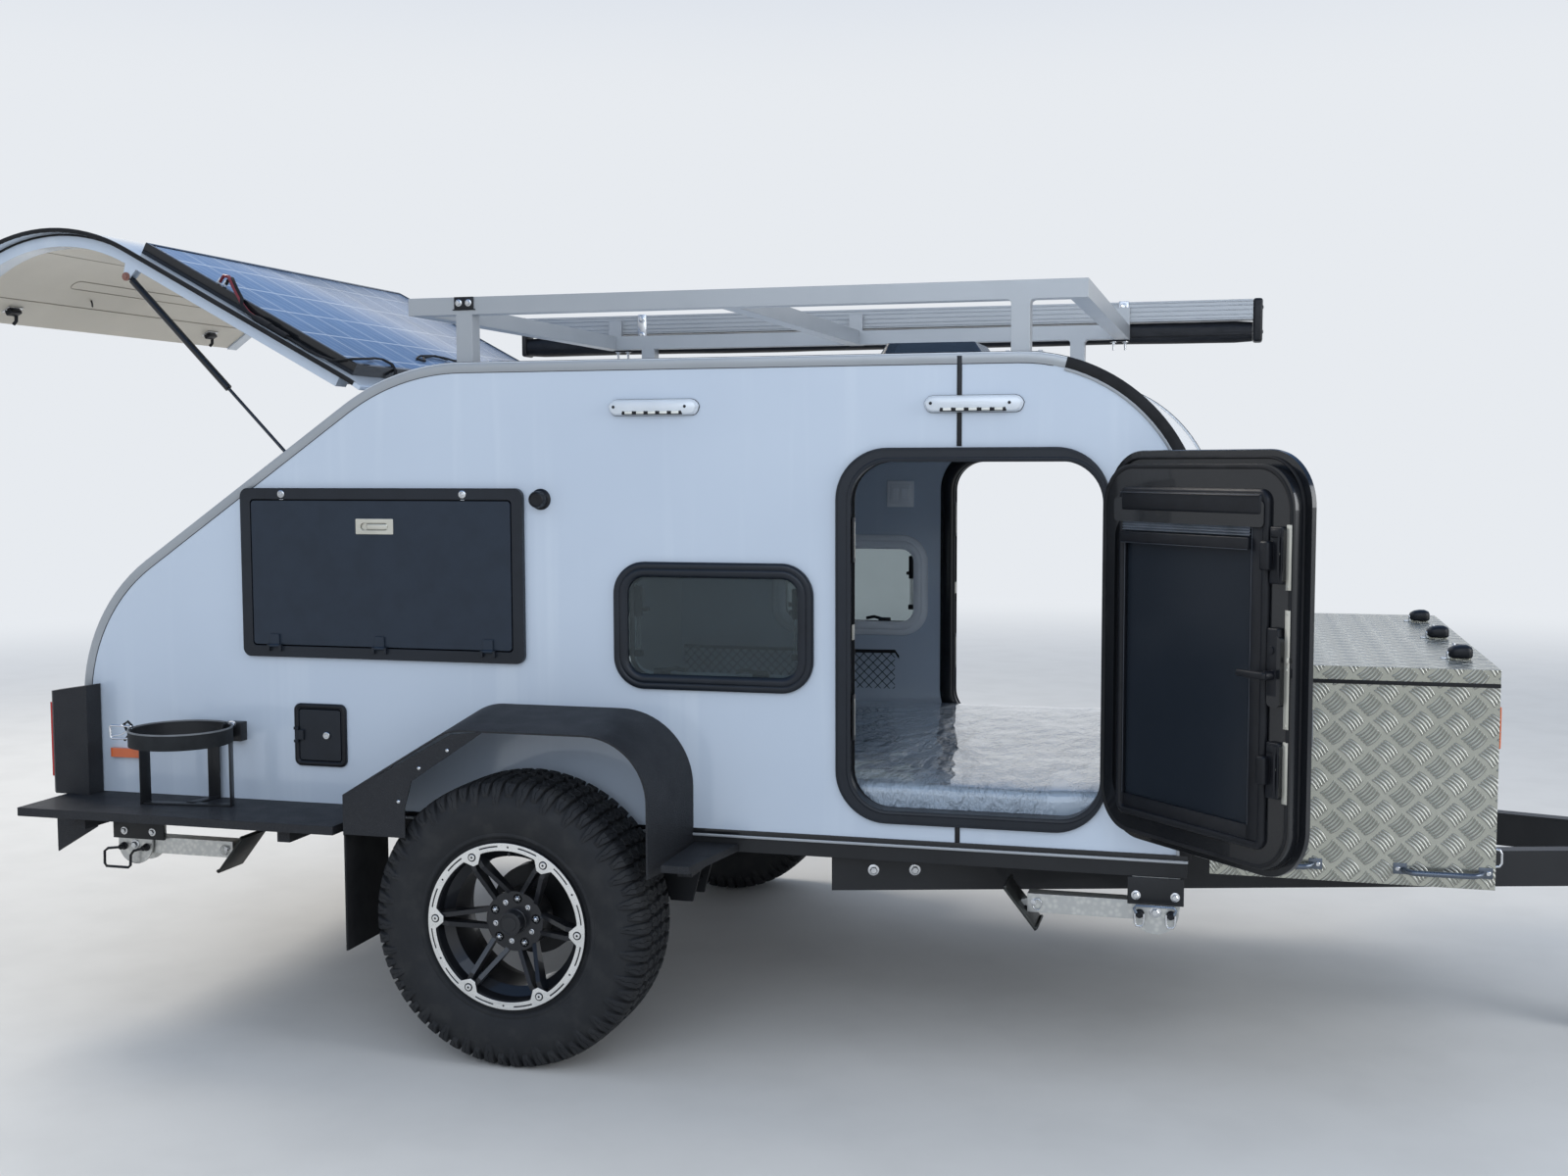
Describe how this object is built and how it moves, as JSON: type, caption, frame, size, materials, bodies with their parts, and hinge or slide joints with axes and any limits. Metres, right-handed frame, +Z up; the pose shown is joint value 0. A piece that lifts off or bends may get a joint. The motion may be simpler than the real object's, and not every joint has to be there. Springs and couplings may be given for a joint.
{
  "type": "teardrop trailer",
  "caption": "Off-road teardrop camping trailer with rear galley lid, side doors, roof rack, awning, drawbar toolbox, jockey wheel and stabiliser legs.",
  "frame": {"origin": "on the ground, under the middle of the object's bounding box as it stands with its rear lid and doors open", "axes": "+Z up, +X forward to the coupling, +Y to the trailer's left"},
  "size_m": [5.7031, 2.803, 2.3783],
  "materials": {
    "panel_white": "gloss",
    "plywood": "satin",
    "trim_alloy": "satin",
    "cabinet_wood": "satin",
    "bedding": "matte",
    "black_plastic": "satin",
    "acrylic": "clear",
    "black_frame": "satin",
    "black_paint": "satin",
    "black_rubber": "matte",
    "lens": "gloss",
    "zinc": "satin",
    "tread_alloy": "bright",
    "vinyl": "matte",
    "tyre": "matte",
    "rim": "gloss",
    "liner": "satin",
    "solar": "gloss",
    "black_steel": "gloss",
    "chrome_rod": "polished"
  },
  "bodies": {
    "trailer": {"floor_panel": "plywood", "side_rear_right": "panel_white", "side_rear_left": "panel_white", "side_front_panels": "panel_white", "roof_panel": "panel_white", "edge_trims": "trim_alloy", "galley_cabinet": "cabinet_wood", "mattress": "bedding", "window_frames": "black_plastic", "window_panes": "acrylic", "door_frames": "black_frame", "side_hatch_frames": "black_frame", "lamp_housings": "trim_alloy", "mudguards": "black_paint", "mud_flaps": "black_rubber", "side_platforms": "black_paint", "tail_boxes": "black_paint", "lamp_lenses": "lens", "bottle_holder": "black_paint", "chassis_rails": "black_paint", "chassis_crossmembers": "black_paint", "drawbar_rails": "black_paint", "drawbar_head": "black_paint", "coupling": "zinc", "suspension_arms": "black_paint", "suspension_brackets": "black_paint", "toolbox": "tread_alloy", "rack_rails": "trim_alloy", "rack_crossbars": "trim_alloy", "awning_rail": "trim_alloy", "awning_bag": "vinyl", "roof_vent": "black_plastic", "stabiliser_mounts": "zinc", "jockey_sleeve": "zinc"},
    "wheel_right": {"tyre_right": "tyre", "rim_right": "rim"},
    "wheel_left": {"tyre_left": "tyre", "rim_left": "rim"},
    "door_right": {"door_leaf_right": "black_frame", "door_pane_right": "acrylic"},
    "door_left": {"door_leaf_left": "black_frame", "door_pane_left": "acrylic"},
    "hatch": {"hatch_shell": "panel_white", "hatch_liner": "liner", "solar_panel": "solar"},
    "strut_cylinder_right": {"strut_cylinder_right": "black_steel"},
    "strut_cylinder_left": {"strut_cylinder_left": "black_steel"},
    "strut_rod_right": {"strut_rod_right": "chrome_rod"},
    "strut_rod_left": {"strut_rod_left": "chrome_rod"},
    "table": {"table_panel": "black_frame"},
    "service_door": {"service_door": "black_plastic"},
    "toolbox_lid": {"toolbox_lid": "tread_alloy"},
    "stabiliser_front_right": {"stabiliser_leg_front_right": "zinc"},
    "stabiliser_front_left": {"stabiliser_leg_front_left": "zinc"},
    "stabiliser_rear_right": {"stabiliser_leg_rear_right": "zinc"},
    "stabiliser_rear_left": {"stabiliser_leg_rear_left": "zinc"},
    "jockey_tube": {"jockey_tube": "zinc"},
    "jockey_fork": {"jockey_fork": "zinc"},
    "jockey_wheel": {"jockey_wheel": "black_rubber"}
  },
  "joints": [
    {"name": "wheel_spin_right", "type": "hinge", "parent": "trailer", "child": "wheel_right", "pos_m": [-0.7704, -1.0085, 0.4015], "axis": [0, 1, 0], "continuous": true},
    {"name": "wheel_spin_left", "type": "hinge", "parent": "trailer", "child": "wheel_left", "pos_m": [-0.7704, 1.0085, 0.4015], "axis": [0, 1, 0], "continuous": true},
    {"name": "door_swing_right", "type": "hinge", "parent": "trailer", "child": "door_right", "pos_m": [0.8186, -0.878, 1.2], "axis": [0, 0, 1], "range_deg": [-133.5, 26.5]},
    {"name": "door_swing_left", "type": "hinge", "parent": "trailer", "child": "door_left", "pos_m": [0.8186, 0.878, 1.2], "axis": [0, 0, -1], "range_deg": [-133.5, 26.5]},
    {"name": "hatch_lift", "type": "hinge", "parent": "trailer", "child": "hatch", "pos_m": [-1.32876, 0, 1.87584], "axis": [0, -1, 0], "range_deg": [0, 62.5]},
    {"name": "strut_swing_right", "type": "hinge", "parent": "hatch", "child": "strut_cylinder_right", "pos_m": [-2.13838, -0.796, 2.23002], "axis": [0, -1, 0], "range_deg": [-1, 14.2]},
    {"name": "strut_slide_right", "type": "slide", "parent": "strut_cylinder_right", "child": "strut_rod_right", "axis": [-0.6985, 0, 0.7157], "range_m": [-0.002, 0.3136]},
    {"name": "strut_swing_left", "type": "hinge", "parent": "hatch", "child": "strut_cylinder_left", "pos_m": [-2.13838, 0.796, 2.23002], "axis": [0, -1, 0], "range_deg": [-1, 14.2]},
    {"name": "strut_slide_left", "type": "slide", "parent": "strut_cylinder_left", "child": "strut_rod_left", "axis": [-0.6985, 0, 0.7157], "range_m": [-0.002, 0.3136]},
    {"name": "table_fold", "type": "hinge", "parent": "trailer", "child": "table", "pos_m": [-1.2754, -0.875, 1.123], "axis": [1, 0, 0], "range_deg": [0, 90]},
    {"name": "service_door_swing", "type": "hinge", "parent": "trailer", "child": "service_door", "pos_m": [-1.5584, -0.866, 0.857], "axis": [0, 0, -1], "range_deg": [0, 110]},
    {"name": "toolbox_lid_lift", "type": "hinge", "parent": "trailer", "child": "toolbox_lid", "pos_m": [1.0741, 0, 1.103], "axis": [0, -1, 0], "range_deg": [0, 90]},
    {"name": "stabiliser_front_right_swing", "type": "hinge", "parent": "trailer", "child": "stabiliser_front_right", "pos_m": [0.9456, -0.815, 0.488], "axis": [0, -1, 0], "range_deg": [0, 90]},
    {"name": "stabiliser_front_left_swing", "type": "hinge", "parent": "trailer", "child": "stabiliser_front_left", "pos_m": [0.9456, 0.815, 0.488], "axis": [0, -1, 0], "range_deg": [0, 90]},
    {"name": "stabiliser_rear_right_swing", "type": "hinge", "parent": "trailer", "child": "stabiliser_rear_right", "pos_m": [-2.1404, -0.815, 0.488], "axis": [0, 1, 0], "range_deg": [0, 90]},
    {"name": "stabiliser_rear_left_swing", "type": "hinge", "parent": "trailer", "child": "stabiliser_rear_left", "pos_m": [-2.1404, 0.815, 0.488], "axis": [0, 1, 0], "range_deg": [0, 90]},
    {"name": "jockey_lift", "type": "slide", "parent": "trailer", "child": "jockey_tube", "axis": [0, 0, 1], "range_m": [0, 0.15]},
    {"name": "jockey_swivel", "type": "hinge", "parent": "jockey_tube", "child": "jockey_fork", "pos_m": [2.3046, 0, 0.29], "axis": [0, 0, 1], "continuous": true},
    {"name": "jockey_spin", "type": "hinge", "parent": "jockey_fork", "child": "jockey_wheel", "pos_m": [2.2596, 0, 0.125], "axis": [0, 1, 0], "continuous": true}
  ],
  "couplings": [
    {"joint": "strut_swing_right", "follows": "hatch_lift", "ratio": 0.21147},
    {"joint": "strut_slide_right", "follows": "hatch_lift", "m_per_rad": 0.2838},
    {"joint": "strut_swing_left", "follows": "hatch_lift", "ratio": 0.21147},
    {"joint": "strut_slide_left", "follows": "hatch_lift", "m_per_rad": 0.2838}
  ]
}
